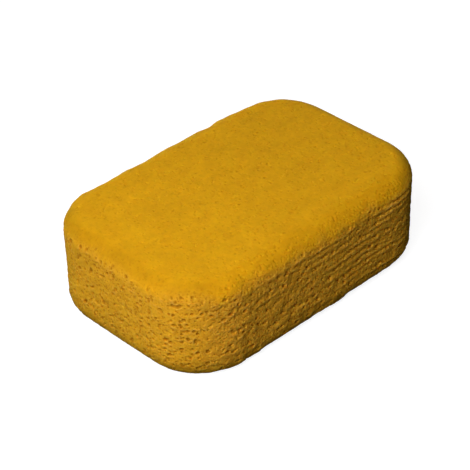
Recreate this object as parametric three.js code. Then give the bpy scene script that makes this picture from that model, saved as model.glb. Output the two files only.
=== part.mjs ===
// A one-piece grout sponge: a block of soft yellow foam, cut with large round corners in plan
// and soft quarter-round edges along the top and the bottom. Both broad faces are flat, so it
// lies on either of them. It is a single body of foam, with nothing fixed to it or inside it.
//
// Millimetres. +X runs along the length, +Y across the width and +Z up. The origin is on the
// resting face, at the middle of the block.

import * as THREE from 'three';

const INCH = 25.4;

// The driving sizes.
const LENGTH = 7.5 * INCH;
const WIDTH = 5 * INCH;
const HEIGHT = 2.375 * INCH;
const PLAN_CORNER_RADIUS = 36;
const EDGE_RADIUS = 10;

// How finely the two kinds of rounding are divided, per quarter turn.
const PLAN_CORNER_STEPS = 18;
const EDGE_STEPS = 8;

const FOAM_COLOUR = '#cc9515';
const FOAM_ROUGHNESS = 0.95;

// The outline seen from above: a rectangle whose corners are quarter circles.
function roundedOutline(length, width, radius) {
  const cornerX = length / 2 - radius;
  const cornerY = width / 2 - radius;
  const cornerCentres = [
    [cornerX, cornerY],
    [-cornerX, cornerY],
    [-cornerX, -cornerY],
    [cornerX, -cornerY],
  ];
  const outline = new THREE.Shape();
  cornerCentres.forEach(([x, y], corner) => {
    const startAngle = (corner * Math.PI) / 2;
    outline.absarc(x, y, radius, startAngle, startAngle + Math.PI / 2);
  });
  return outline;
}

// The block: the outline raised to the full height. The bevel is a quarter round that cuts
// inwards, so that the widest section keeps the outline's own size.
function foamBlockGeometry() {
  const geometry = new THREE.ExtrudeGeometry(roundedOutline(LENGTH, WIDTH, PLAN_CORNER_RADIUS), {
    depth: HEIGHT - 2 * EDGE_RADIUS,
    curveSegments: PLAN_CORNER_STEPS,
    bevelEnabled: true,
    bevelThickness: EDGE_RADIUS,
    bevelSize: EDGE_RADIUS,
    bevelOffset: -EDGE_RADIUS,
    bevelSegments: EDGE_STEPS,
  });
  geometry.translate(0, 0, EDGE_RADIUS);
  return geometry;
}

function foamMaterial() {
  return new THREE.MeshStandardMaterial({
    color: FOAM_COLOUR,
    roughness: FOAM_ROUGHNESS,
    metalness: 0,
  });
}

const foamBlock = new THREE.Mesh(foamBlockGeometry(), foamMaterial());
foamBlock.name = 'foam_block';

const groutSponge = new THREE.Group();
groutSponge.add(foamBlock);

export default groutSponge;
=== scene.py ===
import math

import bpy
import numpy as np
import openvdb
from mathutils import Matrix, Vector


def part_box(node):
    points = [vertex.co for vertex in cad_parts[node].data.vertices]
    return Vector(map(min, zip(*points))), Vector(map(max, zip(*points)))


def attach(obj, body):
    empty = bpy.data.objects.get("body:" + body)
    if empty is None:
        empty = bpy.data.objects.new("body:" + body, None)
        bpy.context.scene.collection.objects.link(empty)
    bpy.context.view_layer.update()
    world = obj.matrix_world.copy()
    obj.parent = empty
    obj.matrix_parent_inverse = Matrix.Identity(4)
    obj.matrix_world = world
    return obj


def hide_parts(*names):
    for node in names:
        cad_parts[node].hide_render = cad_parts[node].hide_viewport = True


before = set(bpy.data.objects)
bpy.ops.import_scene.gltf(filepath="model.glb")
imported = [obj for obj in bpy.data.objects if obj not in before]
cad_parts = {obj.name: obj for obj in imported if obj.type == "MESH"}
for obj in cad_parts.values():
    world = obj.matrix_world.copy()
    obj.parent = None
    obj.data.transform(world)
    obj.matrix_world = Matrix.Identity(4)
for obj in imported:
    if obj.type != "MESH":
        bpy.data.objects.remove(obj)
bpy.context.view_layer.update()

# A one-piece grout sponge. The block of foam is made as a volume: the rounded block, roughened and
# ridged round its sides, with thousands of open cells cut out of it, turned into one mesh.
# The volume works in millimetres; everything in the scene is in metres.

MM = 0.001
SEED = 4711

# ---------------------------------------------------------------- the block, in millimetres

block_low, block_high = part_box("foam_block")
LENGTH, WIDTH, HEIGHT = (Vector(block_high) - Vector(block_low)) / MM
PLAN_CORNER_RADIUS = 36.0
EDGE_RADIUS = 10.0
LONG_EDGE_RADIUS = 12.0  # the long sides' upper edges are worn a little rounder

VOXEL = 0.4
MARGIN = 3.0  # free space round the block inside the grid
SKIN_BAND = 3.5  # the depth, in and out of the block's surface, in which the relief is worked out
TINY = 1e-6  # keeps divisions away from zero

# In plan, each corner turns from an end to a long side. A place begins to count as long side where
# the sine of the angle turned is the first value, and counts as nothing else at the second.
LONG_SIDE_TURN = (0.65, 1.0)
# On the long sides, the edge radius changes from the lower edge's to the upper edge's between these
# two heights, which are shares of the block's height.
RADIUS_CHANGE = (0.3, 0.7)


def smooth_step(value, start, end):
    t = np.clip((value - start) / (end - start), 0.0, 1.0)
    return t * t * (3.0 - 2.0 * t)


# ---------------------------------------------------------------- noise


class Noise:
    """Smooth random values between about -1 and 1. The sizes are how far apart its random numbers
    lie along x, y and z."""

    PERIOD = 64

    def __init__(self, seed, sizes):
        rng = np.random.default_rng(SEED + seed)
        self.lattice = rng.uniform(-1.0, 1.0, (self.PERIOD,) * 3).astype(np.float32)
        self.sizes = sizes

    def __call__(self, x, y, z):
        total = 0.0
        corners = []
        for value, size in zip((x, y, z), self.sizes):
            value = value / size
            whole = np.floor(value)
            part = (value - whole).astype(np.float32)
            part = part * part * (3.0 - 2.0 * part)
            first = whole.astype(np.int32) % self.PERIOD
            corners.append(((first, 1.0 - part), ((first + 1) % self.PERIOD, part)))
        for i, share_i in corners[0]:
            for j, share_j in corners[1]:
                share_ij = share_i * share_j
                for k, share_k in corners[2]:
                    total = total + self.lattice[i, j, k] * (share_ij * share_k)
        return total


# ---------------------------------------------------------------- the volume


def grid_axes():
    """The places of the voxels along x, y and z."""
    lows = (-LENGTH / 2 - MARGIN, -WIDTH / 2 - MARGIN, -MARGIN)
    spans = (LENGTH + 2 * MARGIN, WIDTH + 2 * MARGIN, HEIGHT + 2 * MARGIN)
    return [
        (low + VOXEL * np.arange(int(span / VOXEL) + 1)).astype(np.float32)
        for low, span in zip(lows, spans)
    ]


def turned_to_long_side(x, y):
    """How far a place has turned from the ends towards a long side, 0 to 1."""
    corner_x = np.maximum(np.abs(x) - (LENGTH / 2 - PLAN_CORNER_RADIUS), 0)
    corner_y = np.maximum(np.abs(y) - (WIDTH / 2 - PLAN_CORNER_RADIUS), 0)
    along_y = corner_y / np.maximum(np.hypot(corner_x, corner_y), TINY)
    return smooth_step(along_y, *LONG_SIDE_TURN)


def core_offsets(x, y, z):
    """How far a point lies outside the block's core, in plan and in height, and the edge radius.
    The core is the block with the edge radius taken off all round, so the block's own surface is
    that radius away from it."""
    change_start, change_end = RADIUS_CHANGE
    upper = smooth_step(z, change_start * HEIGHT, change_end * HEIGHT)
    radius = EDGE_RADIUS + (LONG_EDGE_RADIUS - EDGE_RADIUS) * turned_to_long_side(x, y) * upper
    corner_x = np.abs(x) - (LENGTH / 2 - PLAN_CORNER_RADIUS)
    corner_y = np.abs(y) - (WIDTH / 2 - PLAN_CORNER_RADIUS)
    outside = np.hypot(np.maximum(corner_x, 0), np.maximum(corner_y, 0))
    inside = np.minimum(np.maximum(corner_x, corner_y), 0)
    in_plan = outside + inside - (PLAN_CORNER_RADIUS - radius)
    in_height = np.abs(z - HEIGHT / 2) - (HEIGHT / 2 - radius)
    return in_plan, in_height, radius


def block_distance(x, y, z):
    """The distance to the smooth block's surface, negative inside it."""
    in_plan, in_height, radius = core_offsets(x, y, z)
    outside = np.hypot(np.maximum(in_plan, 0), np.maximum(in_height, 0))
    inside = np.minimum(np.maximum(in_plan, in_height), 0)
    return outside + inside - radius


def facing_level(x, y, z):
    """How level the smooth surface faces: 0 on the flat faces, 1 on the upright sides."""
    in_plan, in_height, radius = core_offsets(x, y, z)
    out = np.maximum(in_plan, 0)
    up = np.maximum(in_height, 0)
    return out / np.maximum(np.hypot(out, up), TINY)


# The relief round the sides. The long sides have level rows of torn ridges, clearest towards +X,
# and flattened lumps elsewhere; the ends have only low soft lumps, and the flat faces hardly any.
# Depths, heights and the sizes of a noise are in millimetres. A level is 0 on the flat faces and 1
# on the upright sides, as facing_level gives it.

# how far below the top face the sides' relief starts and is full, and how far that wavers
ENDS_START = (0.0, 11.0)
LONG_SIDES_START = (3.0, 13.0)
START_WAVER = 3.5
START_NOISE = Noise(10, (8.0, 8.0, 8.0))
SIDE_LEVELS = (0.35, 1.0)  # the levels at which a place begins to be side and is nothing else

# the rows: their height, how far they wander up and down, and the shape of their ridges
ROW_HEIGHT = 4.3
ROW_DEPTH = 0.82
ROW_WANDER = 1.6
ROW_WANDER_NOISE = Noise(1, (36, 36, 26))
ROW_RIPPLE = 0.6
ROW_RIPPLE_NOISE = Noise(2, (8, 8, 5))
RIDGE_POWER = 0.8  # below 1 gives broad ridges with narrow valleys between them
RIDGE_MIDDLE = 0.6  # the share of a ridge's height that lies below the block's own surface
# the gaps in a row: it is gone where the noise has the first value, and whole at the second; the
# noise moves on by this step from each row to the next, so that each has gaps of its own
GAP_NOISE = Noise(3, (16, 16, 1))
GAP_STEP = 0.8
GAP_RANGE = (-0.35, 0.45)
# where there are rows at all: more of them towards +X and towards the top, by 1 over this length
# and this height; at the first value of the range they are at their least, at the second full
ROWS_NOISE = Noise(4, (42, 42, 26))
ROWS_NOISE_SHARE = 0.7
ROWS_GAIN_LENGTH = 110
ROWS_GAIN_HEIGHT = 70
ROWS_RANGE = (-0.25, 0.45)
ROWS_LEAST = 0.15

# the lumps, which are lower where there are rows
LUMP_NOISE = Noise(5, (4.8, 4.8, 2.9))
LUMP_DEPTH_LONG = 0.46
LUMP_DEPTH_END = 0.24
LUMP_DEPTH_FLAT = 0.06
LUMP_LOSS_IN_ROWS = 0.45

# the scallops: broad dents and bulges along the rounded edges of the long sides, weaker on the
# upright part and on the near side, at -Y
SCALLOP_NOISE = Noise(9, (8.0, 8.0, 11))
SCALLOP_DEPTH = 1.3
SCALLOP_LEVELS = (0.15, 0.95)
SCALLOP_FADE_LEVELS = (0.8, 1.0)
SCALLOP_FADE = 0.75
SCALLOP_LOSS_NEAR = 0.6

# a slight swell all over, and the grain of the foam
SWELL_NOISE = Noise(7, (34, 34, 34))
SWELL_DEPTH = 0.5
SWELL_SHARE_FLAT = 0.2
GRAIN_NOISE = Noise(8, (1.3, 1.3, 1.1))
GRAIN_DEPTH_END = 0.2
GRAIN_DEPTH_LONG = 0.13
GRAIN_DEPTH_FLAT = 0.03

# painted shade: a little on the rounded edges of the ends, to tone down how brightly they catch the
# light, and more at the foot all round, darker towards the bottom
EDGE_PAINTED_SHADE = 0.33
EDGE_RISE_LEVELS = (0.0, 0.5)
EDGE_FALL_LEVELS = (0.7, 1.05)
FOOT_HEIGHT = 18.0


def side_share(x, y, z):
    """How much of each place is long side, how much is end, and both together; the rest is flat
    face. The corners in plan count as end. The smooth top face reaches down over its edges."""
    turned = turned_to_long_side(x, y)
    below_top = HEIGHT - z + START_WAVER * START_NOISE(x, y, z)
    on_end = (1 - turned) * smooth_step(below_top, *ENDS_START)
    on_long_side = turned * smooth_step(below_top, *LONG_SIDES_START)
    side = smooth_step(facing_level(x, y, z), *SIDE_LEVELS) * (on_end + on_long_side)
    return side * turned, side * (1 - turned), side


def painted_edge_and_foot_shade(x, y, z):
    """How much painted shade darkens the foam, 0 to 1: a little on the ends' rounded edges, most at
    the foot all round, darker towards the bottom, and not at all on the flat faces."""
    level = facing_level(x, y, z)
    off_the_flat = smooth_step(level, *EDGE_RISE_LEVELS)
    on_edge = off_the_flat * (1 - smooth_step(level, *EDGE_FALL_LEVELS))
    on_edge = EDGE_PAINTED_SHADE * on_edge * (1 - turned_to_long_side(x, y))
    # painted shade at the foot, darker towards the bottom
    at_foot = (1 - smooth_step(z, 0, FOOT_HEIGHT)) * off_the_flat
    return np.maximum(on_edge, at_foot)


def row_number(x, y, z):
    """Which row a place on a long side is in; whole numbers are the valleys between rows."""
    waver = ROW_WANDER * ROW_WANDER_NOISE(x, y, z) + ROW_RIPPLE * ROW_RIPPLE_NOISE(x, y, z)
    return (z + waver) / ROW_HEIGHT


def share_of_rows(x, y, z):
    """How much of the long side's relief is rows here, 0 to 1; the rest is lumps."""
    gain = x / ROWS_GAIN_LENGTH + (z - HEIGHT / 2) / ROWS_GAIN_HEIGHT
    return smooth_step(ROWS_NOISE_SHARE * ROWS_NOISE(x, y, z) + gain, *ROWS_RANGE)


def scallops(x, y, z):
    """The dents and bulges along the rounded edges of the long sides."""
    level = facing_level(x, y, z)
    turned = turned_to_long_side(x, y)
    fade = 1 - SCALLOP_FADE * smooth_step(level, *SCALLOP_FADE_LEVELS)
    share = turned * smooth_step(level, *SCALLOP_LEVELS) * fade
    share = share * (1 - SCALLOP_LOSS_NEAR * (y < 0))
    return SCALLOP_DEPTH * share * SCALLOP_NOISE(x, y, z)


def by_part(long_side, end, side, on_long_side, on_end, on_flat):
    """A depth that differs between the long sides, the ends and the flat faces."""
    return on_long_side * long_side + on_end * end + on_flat * (1 - side)


def side_relief(x, y, z):
    """How far the surface stands out from the smooth block."""
    parts = side_share(x, y, z)
    long_side, _, side = parts

    row = row_number(x, y, z)
    ridge = np.abs(np.sin(np.pi * row)) ** RIDGE_POWER
    strength = smooth_step(GAP_NOISE(x, y, GAP_STEP * row), *GAP_RANGE)
    rows_here = share_of_rows(x, y, z)
    row_share = ROWS_LEAST + (1 - ROWS_LEAST) * rows_here
    row_depth = ROW_DEPTH * long_side * row_share * strength

    lump_depth = by_part(*parts, LUMP_DEPTH_LONG, LUMP_DEPTH_END, LUMP_DEPTH_FLAT)
    lump_depth = lump_depth * (1 - LUMP_LOSS_IN_ROWS * rows_here * long_side)
    swell_depth = SWELL_DEPTH * (SWELL_SHARE_FLAT + (1 - SWELL_SHARE_FLAT) * side)
    grain_depth = by_part(*parts, GRAIN_DEPTH_LONG, GRAIN_DEPTH_END, GRAIN_DEPTH_FLAT)
    return (
        lump_depth * LUMP_NOISE(x, y, z)
        + row_depth * (ridge - RIDGE_MIDDLE)
        + scallops(x, y, z)
        + swell_depth * SWELL_NOISE(x, y, z)
        + grain_depth * GRAIN_NOISE(x, y, z)
    )


# The open cells. Each family is cut into one part of the surface at random places, at most one to
# a cube of that spacing. The depth is how far the cell's centre lies below the skin, as a share of
# its radius; the stretch is how much longer a cell is along that side than tall; the shade is the
# painted shade in the cell and on the foam round its mouth, how dark it is painted, from 0 to 1.
CELL_FAMILIES = (
    {"seed": 21, "part": "end", "spacing": 7.0, "radius": (0.8, 1.15), "depth": (0.3, 0.6),
     "stretch": (1.0, 1.2), "shade": 1.0},
    {"seed": 22, "part": "end", "spacing": 4.2, "radius": (0.55, 0.8), "depth": (0.2, 0.6),
     "stretch": (1.0, 1.3), "shade": 1.0},
    {"seed": 26, "part": "long", "spacing": 7.5, "radius": (0.75, 1.1), "depth": (0.2, 0.7),
     "stretch": (1.0, 1.6), "shade": 0.7},
    {"seed": 27, "part": "long", "spacing": 2.9, "radius": (0.5, 0.75), "depth": (-0.4, 0.0),
     "stretch": (1.0, 1.5), "shade": 0.35},
    {"seed": 23, "part": "side", "spacing": 1.8, "radius": (0.32, 0.48), "depth": (-0.1, 0.4),
     "stretch": (1.0, 1.0), "shade": 0.3},
    {"seed": 24, "part": "flat", "spacing": 11.0, "radius": (0.6, 0.9), "depth": (-0.6, -0.2),
     "stretch": (1.0, 1.3), "shade": 0.35},
    {"seed": 25, "part": "flat", "spacing": 4.0, "radius": (0.35, 0.5), "depth": (0.0, 0.4),
     "stretch": (1.0, 1.3), "shade": 0.2},
)
ROW_HOLD = 0.4  # how strongly the cells of a long side are drawn into the valleys between rows
STRETCHED_AXIS = {"end": 1, "long": 0, "side": 0, "flat": 0}
# how much of each part a place must be before the first cells appear, and for all of them; for
# "side" that is the level at which the smooth surface faces
PART_RANGE = {"end": (0.35, 0.95), "long": (0.3, 0.9), "side": (0.4, 0.9), "flat": (0.6, 1.0)}
CELL_MARGIN = 4.0  # how far outside the block the cells' cubes start
HOLLOW_SIZE = 3.2  # the size of the hollows that get painted shade and of the ridges that get a painted highlight
RIM_SOFTNESS = 0.35  # as a share of the cell's radius
# the painted shade is full up to the first distance from the cell's centre, and none from the
# second on, as shares of its radius
SHADE_FULL = 0.6
SHADE_REACH = 1.5
SHADE_SPREAD = (0.6, 1.0)  # from the palest cells of a family to its darkest


def cell_centres(family, rng):
    """Random places near the skin, at most one in each cube of the family's spacing."""
    spacing = family["spacing"]
    spans = np.array([LENGTH, WIDTH, HEIGHT]) + 2 * CELL_MARGIN
    counts = (spans / spacing).astype(int) + 1
    lows = np.array([-LENGTH / 2, -WIDTH / 2, 0.0]) - CELL_MARGIN
    cubes = np.stack(np.meshgrid(*[np.arange(n) for n in counts], indexing="ij"), -1).reshape(-1, 3)
    centres = lows + (cubes + rng.uniform(0, 1, cubes.shape)) * spacing
    centres = centres[np.abs(block_distance(*centres.T)) < spacing / 2]
    long_side, end, side = side_share(*centres.T)
    level = facing_level(*centres.T)
    share = {"end": end, "long": long_side, "side": level, "flat": 1 - side}
    chance = smooth_step(share[family["part"]], *PART_RANGE[family["part"]])
    centres = centres[rng.uniform(0, 1, len(centres)) < chance]
    if family["part"] == "long":
        row = row_number(*centres.T)
        centres[:, 2] += ROW_HOLD * (np.round(row) - row) * ROW_HEIGHT
    return centres


def surface_direction(points):
    """The smooth block's outward direction at each point, by differences."""
    step = 0.05
    parts = []
    for axis in range(3):
        ahead = points.copy()
        ahead[:, axis] += step
        behind = points.copy()
        behind[:, axis] -= step
        parts.append(block_distance(*ahead.T) - block_distance(*behind.T))
    direction = np.stack(parts, -1)
    return direction / np.maximum(np.linalg.norm(direction, axis=1, keepdims=True), TINY)


def cut_cells(distance, shade, axes, family):
    """Cuts one family of open cells out of the volume and paints shade on the foam in and round
    them.
    """
    rng = np.random.default_rng(SEED + family["seed"])
    centres = cell_centres(family, rng)
    radii = rng.uniform(*family["radius"], len(centres))
    depths = rng.uniform(*family["depth"], len(centres)) * radii
    stretches = rng.uniform(*family["stretch"], len(centres))
    shades = rng.uniform(*SHADE_SPREAD, len(centres)) * family["shade"]
    direction = surface_direction(centres)
    on_block = centres - direction * block_distance(*centres.T)[:, None]
    relief = side_relief(*on_block.T.astype(np.float32))
    centres = on_block + direction * (relief - depths)[:, None]
    starts = [axis[0] for axis in axes]
    widths = np.ones(3)
    for centre, radius, stretch, darkness in zip(centres, radii, stretches, shades):
        reach = radius * SHADE_REACH * stretch + VOXEL
        window = []
        for value, start, axis in zip(centre, starts, axes):
            first = max(int((value - reach - start) / VOXEL), 0)
            last = min(int((value + reach - start) / VOXEL) + 2, len(axis))
            window.append(slice(first, last))
        if min(part.stop - part.start for part in window) < 2:
            continue
        wx, wy, wz = window
        widths[STRETCHED_AXIS[family["part"]]] = stretch
        dx = (axes[0][wx][:, None, None] - centre[0]) / widths[0]
        dy = (axes[1][wy][None, :, None] - centre[1]) / widths[1]
        dz = axes[2][wz][None, None, :] - centre[2]
        away = np.sqrt(dx * dx + dy * dy + dz * dz)
        hollow = radius - away
        foam = distance[wx, wy, wz]
        softness = RIM_SOFTNESS * radius
        blend = np.maximum(softness - np.abs(foam - hollow), 0.0)
        foam[...] = np.maximum(foam, hollow) + blend * blend / (4 * softness)
        # painted shade in the cell and round its mouth
        mouth_shade = darkness * (1.0 - smooth_step(away / radius, SHADE_FULL, SHADE_REACH))
        shaded = shade[wx, wy, wz]
        shaded[...] = np.maximum(shaded, mouth_shade)


def averaged(volume, size):
    """The volume averaged over a cube of that size round each voxel."""
    steps = int(round(size / 2 / VOXEL))
    for axis in range(3):
        total = volume.copy()
        for step in range(1, steps + 1):
            total += np.roll(volume, step, axis)
            total += np.roll(volume, -step, axis)
        volume = total / (2 * steps + 1)
    return volume


def foam_volume():
    """The signed distance of the foam on the grid, the painted shade in and round its cells, and
    the axes.
    """
    axes = grid_axes()
    x, y, z = np.meshgrid(*axes, indexing="ij", sparse=True)
    distance = block_distance(x, y, z).astype(np.float32)
    near = np.nonzero(np.abs(distance) < SKIN_BAND)
    points = [axis[index] for axis, index in zip(axes, near)]
    distance[near] -= side_relief(*points).astype(np.float32)
    shade = np.zeros_like(distance)
    for family in CELL_FAMILIES:
        cut_cells(distance, shade, axes, family)
    # the underside is flat where it rests
    np.maximum(distance, -z, out=distance)
    return distance, shade, axes


def largest_shell(count, quads):
    """Which vertices belong to the biggest connected surface."""
    label = np.arange(count)
    first = quads.ravel()
    second = np.roll(quads, -1, axis=1).ravel()
    while True:
        before = label.copy()
        lowest = np.minimum(label[first], label[second])
        np.minimum.at(label, first, lowest)
        np.minimum.at(label, second, lowest)
        label = label[label]
        if np.array_equal(before, label):
            break
    labels, sizes = np.unique(label, return_counts=True)
    return label == labels[np.argmax(sizes)]


def sample(volume, axes, points):
    """The volume's value at each point, between its voxels."""
    total = 0.0
    parts = []
    for axis in range(3):
        place = (points[:, axis] - axes[axis][0]) / VOXEL
        first = np.clip(np.floor(place).astype(int), 0, len(axes[axis]) - 2)
        part = place - first
        parts.append(((first, 1 - part), (first + 1, part)))
    for i, share_i in parts[0]:
        for j, share_j in parts[1]:
            for k, share_k in parts[2]:
                total = total + volume[i, j, k] * (share_i * share_j * share_k)
    return total


def foam_surface():
    """The vertices and faces of the foam, in millimetres, each vertex's painted shade from the
    cells, and how far it stands above its surroundings."""
    distance, shade, axes = foam_volume()
    grid = openvdb.FloatGrid(MARGIN)
    grid.copyFromArray(distance)
    grid.transform = openvdb.createLinearTransform(voxelSize=VOXEL)
    # without adaptivity the surface is all quads
    points, _, quads = grid.convertToPolygons(isovalue=0.0, adaptivity=0.0)
    points = points + np.array([axis[0] for axis in axes])
    quads = quads.astype(np.int64)
    kept = largest_shell(len(points), quads)
    new_number = np.cumsum(kept) - 1
    quads = new_number[quads[kept[quads[:, 0]]]]
    points = points[kept]
    surroundings = averaged(np.clip(distance, -HOLLOW_SIZE, HOLLOW_SIZE), HOLLOW_SIZE)
    return points, quads, sample(shade, axes, points), sample(surroundings, axes, points)


# ---------------------------------------------------------------- the mesh

# The flat texture charts of the six sides, laid out on one square page, in millimetres: the top
# with both ends beside it, and above them the underside with both long sides beside it.
CHART_GAP = 5.0
PAGE = LENGTH + WIDTH + 3 * CHART_GAP
SECOND_COLUMN = LENGTH + 2 * CHART_GAP
SECOND_ROW = WIDTH + 2 * CHART_GAP
# for each direction and sign: the axes that run across and up the chart, and its middle
CHARTS = {
    (2, 1): (0, 1, CHART_GAP + LENGTH / 2, CHART_GAP + WIDTH / 2),
    (2, -1): (0, 1, CHART_GAP + LENGTH / 2, SECOND_ROW + WIDTH / 2),
    (0, -1): (1, 2, SECOND_COLUMN + WIDTH / 2, CHART_GAP + HEIGHT / 2),
    (0, 1): (1, 2, SECOND_COLUMN + WIDTH / 2, 2 * CHART_GAP + HEIGHT * 1.5),
    (1, -1): (2, 0, SECOND_COLUMN + HEIGHT / 2, SECOND_ROW + LENGTH / 2),
    (1, 1): (2, 0, SECOND_COLUMN + CHART_GAP + HEIGHT * 1.5, SECOND_ROW + LENGTH / 2),
}


def chart_places(points, quads):
    """Where each corner of each face lies on the page, from 0 to 1."""
    from_middle = points - np.array([0, 0, HEIGHT / 2])
    corners = from_middle[quads]
    direction = surface_direction(points[quads].mean(axis=1))
    axis_of_face = np.argmax(np.abs(direction), axis=1)
    sign_of_face = np.sign(direction[np.arange(len(quads)), axis_of_face])
    places = np.zeros((len(quads), 4, 2))
    for (axis, sign), (across, up, middle_u, middle_v) in CHARTS.items():
        on_chart = (axis_of_face == axis) & (sign_of_face == sign)
        places[on_chart, :, 0] = middle_u + sign * corners[on_chart][:, :, across]
        places[on_chart, :, 1] = middle_v + corners[on_chart][:, :, up]
    return places / PAGE


def make_mesh(name, points, quads):
    mesh = bpy.data.meshes.new(name)
    mesh.vertices.add(len(points))
    mesh.vertices.foreach_set("co", (points * MM).astype(np.float32).ravel())
    mesh.loops.add(quads.size)
    mesh.loops.foreach_set("vertex_index", quads.astype(np.int32).ravel())
    mesh.polygons.add(len(quads))
    mesh.polygons.foreach_set("loop_start", np.arange(0, quads.size, 4, dtype=np.int32))
    mesh.polygons.foreach_set("use_smooth", np.ones(len(quads), dtype=bool))
    mesh.update()
    layer = mesh.uv_layers.new(name="OFBake")
    layer.data.foreach_set("uv", chart_places(points, quads).astype(np.float32).ravel())
    return mesh


def add_value(mesh, name, values):
    attribute = mesh.attributes.new(name, "FLOAT", "POINT")
    attribute.data.foreach_set("value", values.astype(np.float32))


# ---------------------------------------------------------------- the material


FLAT_COLOUR = (0.655, 0.322, 0.0043, 1)
END_COLOUR = (0.63, 0.317, 0.013, 1)
# painted shade: the long sides are painted a little more orange than the ends, as the foam looks in
# shadow
LONG_SIDE_SHADED_COLOUR = (0.625, 0.302, 0.018, 1)
# painted shade: the colour painted into the open cells, the hollows of the sides and the finest
# cells, where shade falls
CELL_SHADE_COLOUR = (0.36, 0.134, 0.003, 1)
# painted highlight: the paler colour painted on the ridges of the sides, where the light catches
# them
PAINTED_HIGHLIGHT_COLOUR = (0.66, 0.36, 0.06, 1)
# the colour of the painted shade on the ends' rounded edges and at the foot
EDGE_FOOT_SHADE_COLOUR = (0.27, 0.137, 0.004, 1)
# how far, in millimetres, a place lies below or above its surroundings to take the full painted
# shade or the full painted highlight
SHADED_HOLLOW_DEPTH = 0.7
HIGHLIGHT_RIDGE_HEIGHT = 0.7
CONVEX_EDGE = 0.12  # how far the block's own rounded edges stand above their surroundings; up to that they get no painted highlight
FOAM_ROUGHNESS = 0.95
FOAM_SPECULAR = 0.03
# how much of the light enters the foam, and how far it spreads there, in millimetres, for red,
# green and blue
LIGHT_SPREAD_SHARE = 0.9
LIGHT_SPREAD = (2.1, 1.7, 1.1)
# the finest cells, too small for the mesh: their spacing, their depth, and how dark their painted
# shade is on the flat faces and on the sides
FINE_CELL = 1.4
FINE_DEPTH = 0.2
FINE_SHADE_FLAT = 0.31
FINE_SHADE_SIDE = 1.0
# from the dark middle of a fine cell to its edge, as shares of the spacing
FINE_MIDDLE = 0.1
FINE_EDGE = 0.6
# the blotches: their sizes, how much the foam is darkened at the middle of one, and the values of
# the noise at its middle and at its edge
BLOTCH_SIZES = (2.5, 6.0, 20.0)
BLOTCH_SHARE = 0.115
BLOTCH_LOW = 0.25
BLOTCH_HIGH = 0.75


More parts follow.
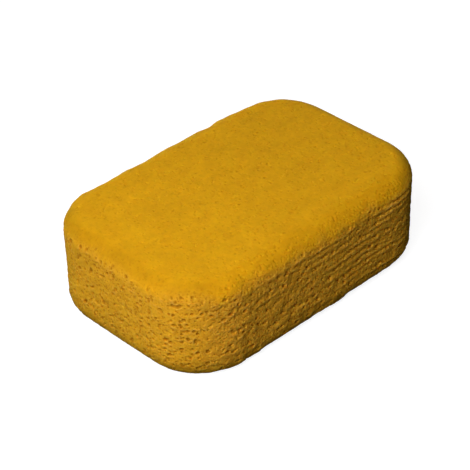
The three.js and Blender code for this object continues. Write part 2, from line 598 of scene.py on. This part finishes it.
def foam_material():
    material = bpy.data.materials.new("yellow_foam")
    material.use_nodes = True
    nodes = material.node_tree.nodes
    links = material.node_tree.links
    shader = nodes["Principled BSDF"]
    shader.inputs["Roughness"].default_value = FOAM_ROUGHNESS
    shader.inputs["Specular IOR Level"].default_value = FOAM_SPECULAR
    shader.inputs["Subsurface Weight"].default_value = LIGHT_SPREAD_SHARE
    shader.inputs["Subsurface Radius"].default_value = LIGHT_SPREAD
    shader.inputs["Subsurface Scale"].default_value = MM
    place = nodes.new("ShaderNodeTexCoord")

    def attribute(name):
        node = nodes.new("ShaderNodeAttribute")
        node.attribute_name = name
        return node.outputs["Fac"]

    def mixed(factor, first, second, blend_type="MIX"):
        node = nodes.new("ShaderNodeMix")
        node.data_type = "RGBA"
        node.blend_type = blend_type
        for value, name in ((factor, "Factor_Float"), (first, "A_Color"), (second, "B_Color")):
            socket = next(item for item in node.inputs if item.identifier == name)
            if isinstance(value, bpy.types.NodeSocket):
                links.new(value, socket)
            else:
                socket.default_value = value
        return next(item for item in node.outputs if item.identifier == "Result_Color")

    def product(first, second):
        node = nodes.new("ShaderNodeMath")
        node.operation = "MULTIPLY"
        links.new(first, node.inputs[0])
        links.new(second, node.inputs[1])
        return node.outputs["Value"]

    # blotches: soft noise of several sizes, each of which darkens the foam a little in places
    brightness = None
    for size in BLOTCH_SIZES:
        noise = nodes.new("ShaderNodeTexNoise")
        noise.inputs["Scale"].default_value = 1 / (size * MM)
        noise.inputs["Detail"].default_value = 2.0
        links.new(place.outputs["Object"], noise.inputs["Vector"])
        darkening = nodes.new("ShaderNodeMapRange")
        darkening.inputs["From Min"].default_value = BLOTCH_LOW
        darkening.inputs["From Max"].default_value = BLOTCH_HIGH
        darkening.inputs["To Min"].default_value = 1.0 - BLOTCH_SHARE
        darkening.inputs["To Max"].default_value = 1.0
        links.new(noise.outputs["Fac"], darkening.inputs["Value"])
        if brightness is None:
            brightness = darkening.outputs["Result"]
        else:
            brightness = product(brightness, darkening.outputs["Result"])

    # the finest cells: one soft dot of painted shade to each Voronoi cell, some darker than others
    cells = nodes.new("ShaderNodeTexVoronoi")
    cells.inputs["Scale"].default_value = 1 / (FINE_CELL * MM)
    links.new(place.outputs["Object"], cells.inputs["Vector"])
    dot = nodes.new("ShaderNodeMapRange")
    dot.interpolation_type = "SMOOTHSTEP"
    dot.inputs["From Min"].default_value = FINE_MIDDLE
    dot.inputs["From Max"].default_value = FINE_EDGE
    dot.inputs["To Min"].default_value = 1.0
    dot.inputs["To Max"].default_value = 0.0
    links.new(cells.outputs["Distance"], dot.inputs["Value"])
    cell_random = nodes.new("ShaderNodeSeparateColor")
    links.new(cells.outputs["Color"], cell_random.inputs["Color"])
    darkest = nodes.new("ShaderNodeMapRange")
    darkest.inputs["To Min"].default_value = FINE_SHADE_FLAT
    darkest.inputs["To Max"].default_value = FINE_SHADE_SIDE
    side = attribute("side")
    links.new(side, darkest.inputs["Value"])
    uneven = product(cell_random.outputs["Red"], cell_random.outputs["Red"])
    fine = product(product(dot.outputs["Result"], uneven), darkest.outputs["Result"])

    # the long sides a little more orange: painted shade
    round_sides = mixed(attribute("long_side"), END_COLOUR, LONG_SIDE_SHADED_COLOUR)
    plain = mixed(side, FLAT_COLOUR, round_sides)
    # painted highlight on the ridges of the sides
    highlighted = mixed(attribute("ridge"), plain, PAINTED_HIGHLIGHT_COLOUR)
    # painted shade in the finest cells
    fine_shaded = mixed(fine, highlighted, CELL_SHADE_COLOUR)
    # painted shade in the open cells and in the hollows of the sides
    shaded = mixed(attribute("shade"), fine_shaded, CELL_SHADE_COLOUR)
    # painted shade: darkens the ends' rounded edges a little and the foot of the block towards the
    # bottom
    edge_foot_shaded = mixed(attribute("edge_foot_shade"), shaded, EDGE_FOOT_SHADE_COLOUR)
    colour = mixed(1.0, edge_foot_shaded, brightness, "MULTIPLY")
    links.new(colour, shader.inputs["Base Color"])

    bump = nodes.new("ShaderNodeBump")
    bump.inputs["Strength"].default_value = 1.0
    bump.inputs["Distance"].default_value = FINE_DEPTH * MM
    bump.invert = True
    links.new(fine, bump.inputs["Height"])
    links.new(bump.outputs["Normal"], shader.inputs["Normal"])
    return material


def make_sponge():
    points, quads, shade, standing = foam_surface()
    mesh = make_mesh("sponge", points, quads)
    side = side_share(*points.T)[2]
    long_side = turned_to_long_side(points[:, 0], points[:, 1])
    # painted shade in the hollows of the sides, where they lie below their surroundings
    hollow = np.clip(-standing / SHADED_HOLLOW_DEPTH, 0.0, 1.0)
    # painted highlight on the ridges of the sides, where they stand above their surroundings
    ridge = np.clip((standing - CONVEX_EDGE) / HIGHLIGHT_RIDGE_HEIGHT, 0.0, 1.0)
    add_value(mesh, "side", side)
    add_value(mesh, "long_side", long_side)
    add_value(mesh, "shade", np.maximum(shade, hollow * side))
    add_value(mesh, "ridge", ridge * side)
    # painted shade on the ends' rounded edges and at the foot
    add_value(mesh, "edge_foot_shade", painted_edge_and_foot_shade(*points.T))
    sponge = bpy.data.objects.new("foam_sponge", mesh)
    bpy.context.scene.collection.objects.link(sponge)
    sponge.data.materials.append(foam_material())
    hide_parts("foam_block")
    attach(sponge, "root")


# ---------------------------------------------------------------- the studio

SPONGE_MIDDLE = Vector((0, 0, HEIGHT / 2 * MM))
FLOOR_SIZE = 6.0
FLOOR_COLOUR = (0.3, 0.3, 0.3, 1)
FLOOR_GLOW = 0.86
BACKDROP_GLOW = 0.88
BACKDROP_RADIUS = 4.0
STAGE_ROUGHNESS = 0.9


def plain_material(name, colour, glow):
    material = bpy.data.materials.new(name)
    material.use_nodes = True
    shader = material.node_tree.nodes["Principled BSDF"]
    shader.inputs["Base Color"].default_value = colour
    shader.inputs["Roughness"].default_value = STAGE_ROUGHNESS
    shader.inputs["Specular IOR Level"].default_value = 0.0
    shader.inputs["Emission Color"].default_value = (1, 1, 1, 1)
    shader.inputs["Emission Strength"].default_value = glow
    return material


def hide_from_lighting(thing):
    """Keeps a piece of the stage from throwing light back on the sponge."""
    thing.visible_diffuse = False
    thing.visible_glossy = False
    thing.visible_transmission = False
    thing.visible_volume_scatter = False


def make_floor():
    half = FLOOR_SIZE / 2
    mesh = bpy.data.meshes.new("floor")
    corners = [(-half, -half, 0), (half, -half, 0), (half, half, 0), (-half, half, 0)]
    mesh.from_pydata(corners, [], [(0, 1, 2, 3)])
    floor = bpy.data.objects.new("floor", mesh)
    bpy.context.scene.collection.objects.link(floor)
    mesh.materials.append(plain_material("pale_floor", FLOOR_COLOUR, FLOOR_GLOW))
    hide_from_lighting(floor)


def make_backdrop():
    """A plain pale dome round the studio, seen by the camera only."""
    bpy.ops.mesh.primitive_uv_sphere_add(segments=48, ring_count=24, radius=BACKDROP_RADIUS)
    backdrop = bpy.context.object
    backdrop.name = "backdrop"
    backdrop.data.materials.append(plain_material("pale_backdrop", (0, 0, 0, 1), BACKDROP_GLOW))
    hide_from_lighting(backdrop)
    backdrop.visible_shadow = False


def add_area_light(name, direction, distance, size, strength):
    """A square soft light that looks at the middle of the sponge. Strength 1 lights a surface that
    faces it as brightly as a white sky does."""
    light = bpy.data.lights.new(name, "AREA")
    light.shape = "SQUARE"
    light.size = size
    light.energy = strength * (math.pi * distance) ** 2
    lamp = bpy.data.objects.new(name, light)
    bpy.context.scene.collection.objects.link(lamp)
    lamp.location = SPONGE_MIDDLE + Vector(direction).normalized() * distance
    lamp.rotation_euler = (SPONGE_MIDDLE - lamp.location).to_track_quat("-Z", "Y").to_euler()
    lamp.visible_camera = False


# The lights: the way each one comes from, its distance, its size and its strength.
LIGHTS = {
    "key": ((-0.64, -0.10, 0.77), 0.78, 0.6, 0.61),
    "corner": ((-0.64, -0.38, 0.67), 0.80, 0.5, 0.61),
    "front": ((-0.84, -0.42, 0.37), 0.55, 0.35, 0.33),
    "above": ((-0.1, -0.2, 0.97), 1.6, 0.8, 0.04),
    "back": ((0.60, 0.78, 0.10), 1.4, 0.8, 0.80),
}
SKY_ABOVE = 0.05
SKY_BELOW = 0.02
HORIZON_HALF_WIDTH = 0.15  # of the band where the sky changes over, as a sine of elevation


def light_studio():
    """A faint sky that is brighter from above, and the soft lights."""
    world = bpy.data.worlds.new("studio")
    world.use_nodes = True
    nodes = world.node_tree.nodes
    links = world.node_tree.links
    sky_direction = nodes.new("ShaderNodeTexCoord")
    split = nodes.new("ShaderNodeSeparateXYZ")
    blend = nodes.new("ShaderNodeMapRange")
    blend.interpolation_type = "SMOOTHSTEP"
    blend.inputs["From Min"].default_value = -HORIZON_HALF_WIDTH
    blend.inputs["From Max"].default_value = HORIZON_HALF_WIDTH
    blend.inputs["To Min"].default_value = SKY_BELOW
    blend.inputs["To Max"].default_value = SKY_ABOVE
    links.new(sky_direction.outputs["Generated"], split.inputs["Vector"])
    links.new(split.outputs["Z"], blend.inputs["Value"])
    links.new(blend.outputs["Result"], nodes["Background"].inputs["Strength"])
    nodes["Background"].inputs["Color"].default_value = (1, 1, 1, 1)
    bpy.context.scene.world = world
    for name, (direction, distance, size, strength) in LIGHTS.items():
        add_area_light(name, direction, distance, size, strength)


# The camera: which way round the block it stands, how high, how far, its roll, and how far it is
# moved sideways and up from the line through the block's middle.
CAMERA_AZIMUTH = math.radians(-43.5)
CAMERA_ELEVATION = math.radians(35.9)
CAMERA_ROLL = math.radians(-1.45)
CAMERA_DISTANCE = 0.9555
CAMERA_SIDE_STEP = -0.00366
CAMERA_UP_STEP = -0.00391
LENS = 129.06
SENSOR = 36.0
CLIP_START = 0.05
CLIP_END = 50.0


def make_camera():
    camera_data = bpy.data.cameras.new("camera")
    camera_data.lens = LENS
    camera_data.sensor_width = SENSOR
    camera_data.clip_start = CLIP_START
    camera_data.clip_end = CLIP_END
    camera = bpy.data.objects.new("camera", camera_data)
    bpy.context.scene.collection.objects.link(camera)
    flat = math.cos(CAMERA_ELEVATION)
    back = Vector(
        (
            math.sin(CAMERA_AZIMUTH) * flat,
            -math.cos(CAMERA_AZIMUTH) * flat,
            math.sin(CAMERA_ELEVATION),
        )
    )
    right = Vector((math.cos(CAMERA_AZIMUTH), math.sin(CAMERA_AZIMUTH), 0))
    up = back.cross(right)
    rolled_right = right * math.cos(CAMERA_ROLL) + up * math.sin(CAMERA_ROLL)
    rolled_up = up * math.cos(CAMERA_ROLL) - right * math.sin(CAMERA_ROLL)
    place = SPONGE_MIDDLE + back * CAMERA_DISTANCE
    place = place + rolled_right * CAMERA_SIDE_STEP + rolled_up * CAMERA_UP_STEP
    turn = Matrix((rolled_right, rolled_up, back)).transposed().to_4x4()
    camera.matrix_world = Matrix.Translation(place) @ turn
    bpy.context.scene.camera = camera


bpy.context.scene.view_settings.view_transform = "Standard"
make_sponge()
make_floor()
make_backdrop()
light_studio()
make_camera()
